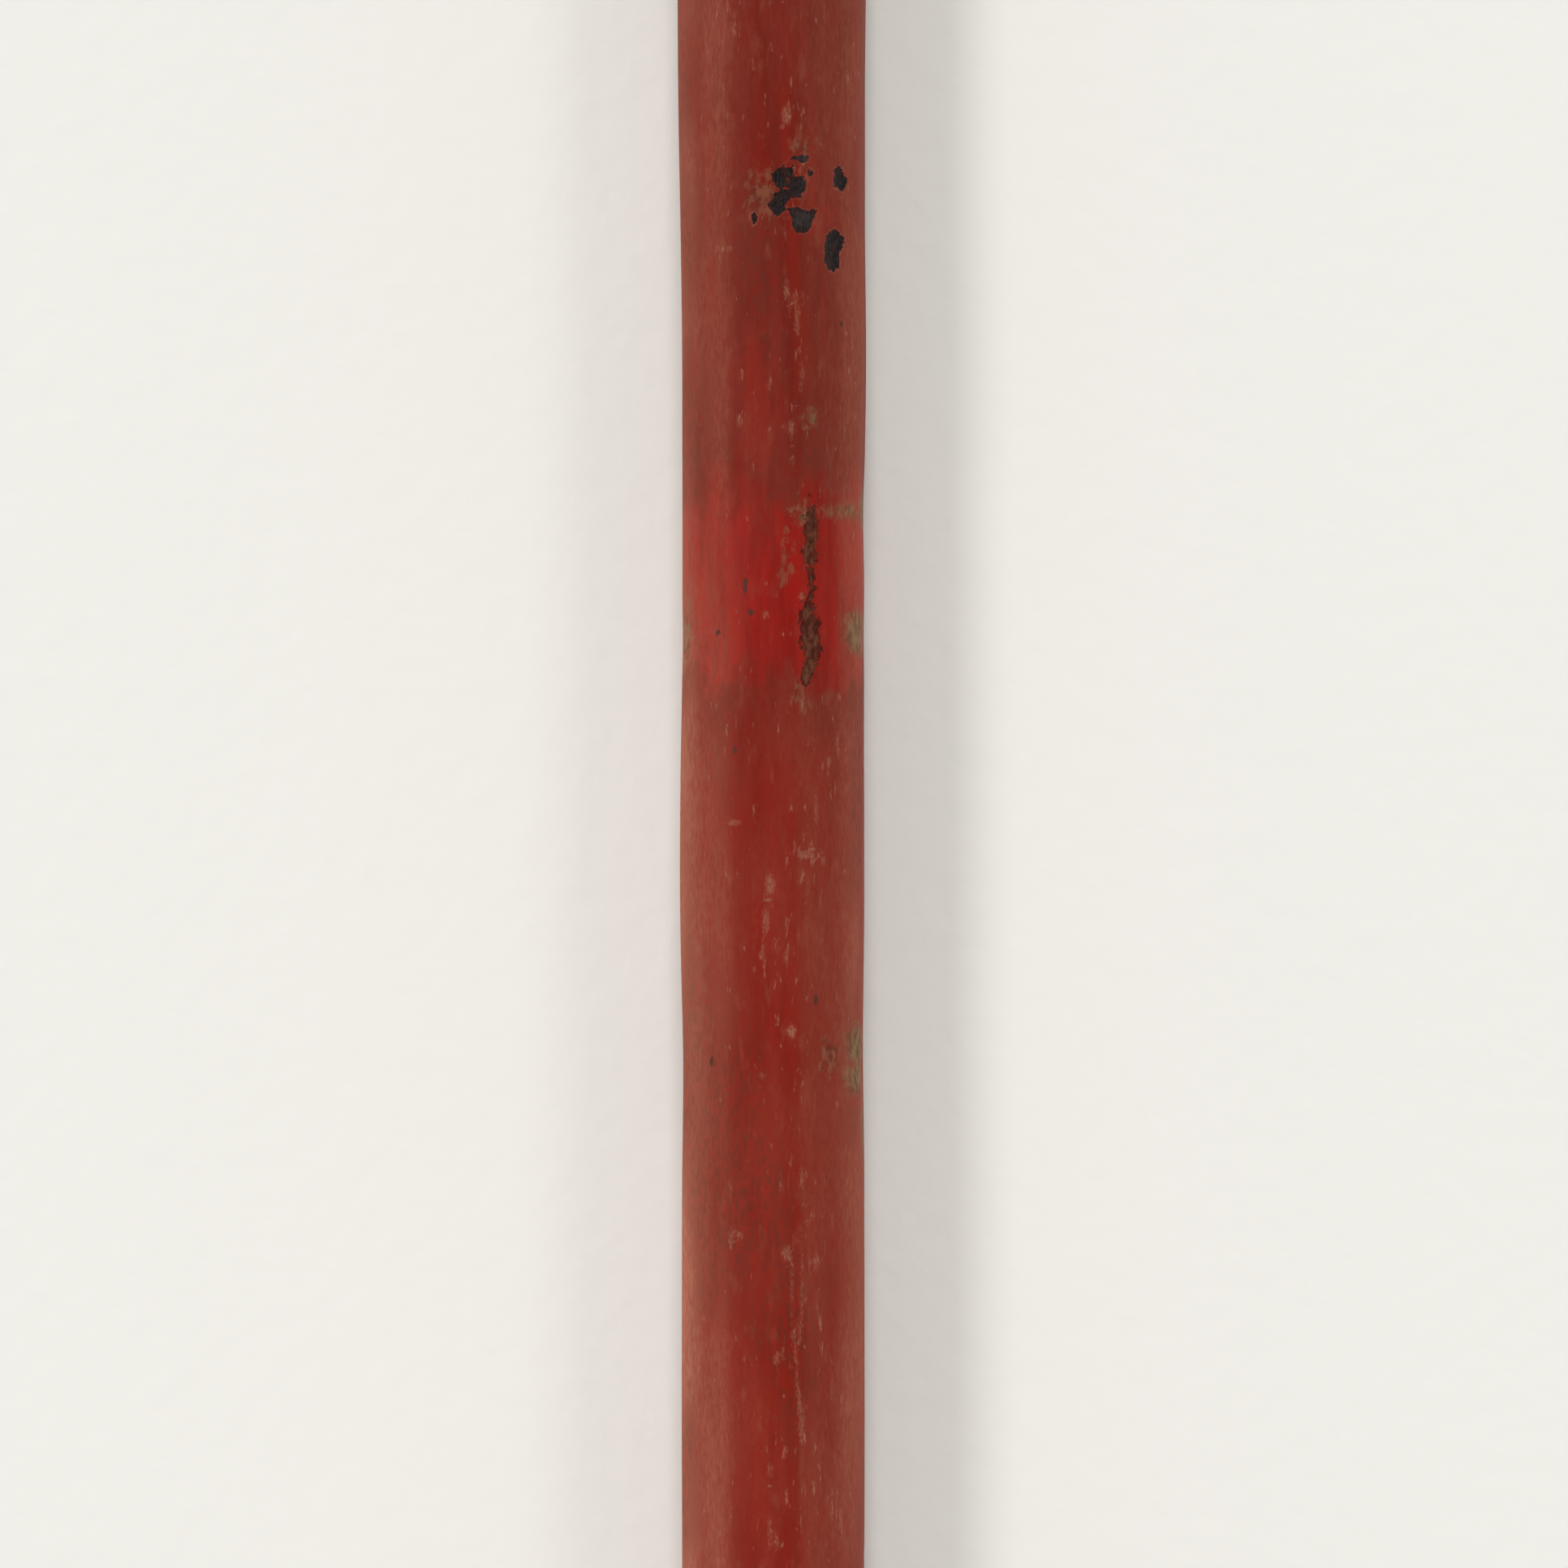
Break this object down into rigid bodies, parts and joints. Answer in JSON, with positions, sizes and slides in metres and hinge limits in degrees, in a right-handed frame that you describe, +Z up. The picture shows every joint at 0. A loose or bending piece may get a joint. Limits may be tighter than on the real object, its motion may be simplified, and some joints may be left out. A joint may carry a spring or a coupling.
{
  "type": "pry bar",
  "caption": "One-piece forged gooseneck wrecking bar: octagonal painted steel shank, split nail claw on the hook, and a cranked chisel end.",
  "frame": {"origin": "on the floor, under the middle of the bar's bounding box as it lies settled on its side", "axes": "+X along the bar from the gooseneck to the chisel, +Y to the side that the gooseneck hooks over to, +Z up from the floor"},
  "size_m": [0.9144, 0.1412, 0.039],
  "materials": {
    "painted_steel": "worn red enamel over a black base coat on forged steel, semi-matt with dust in the grain; bare at the claw tips and the chisel edge"
  },
  "bodies": {
    "root": {"forged_bar": "painted_steel"}
  },
  "joints": []
}
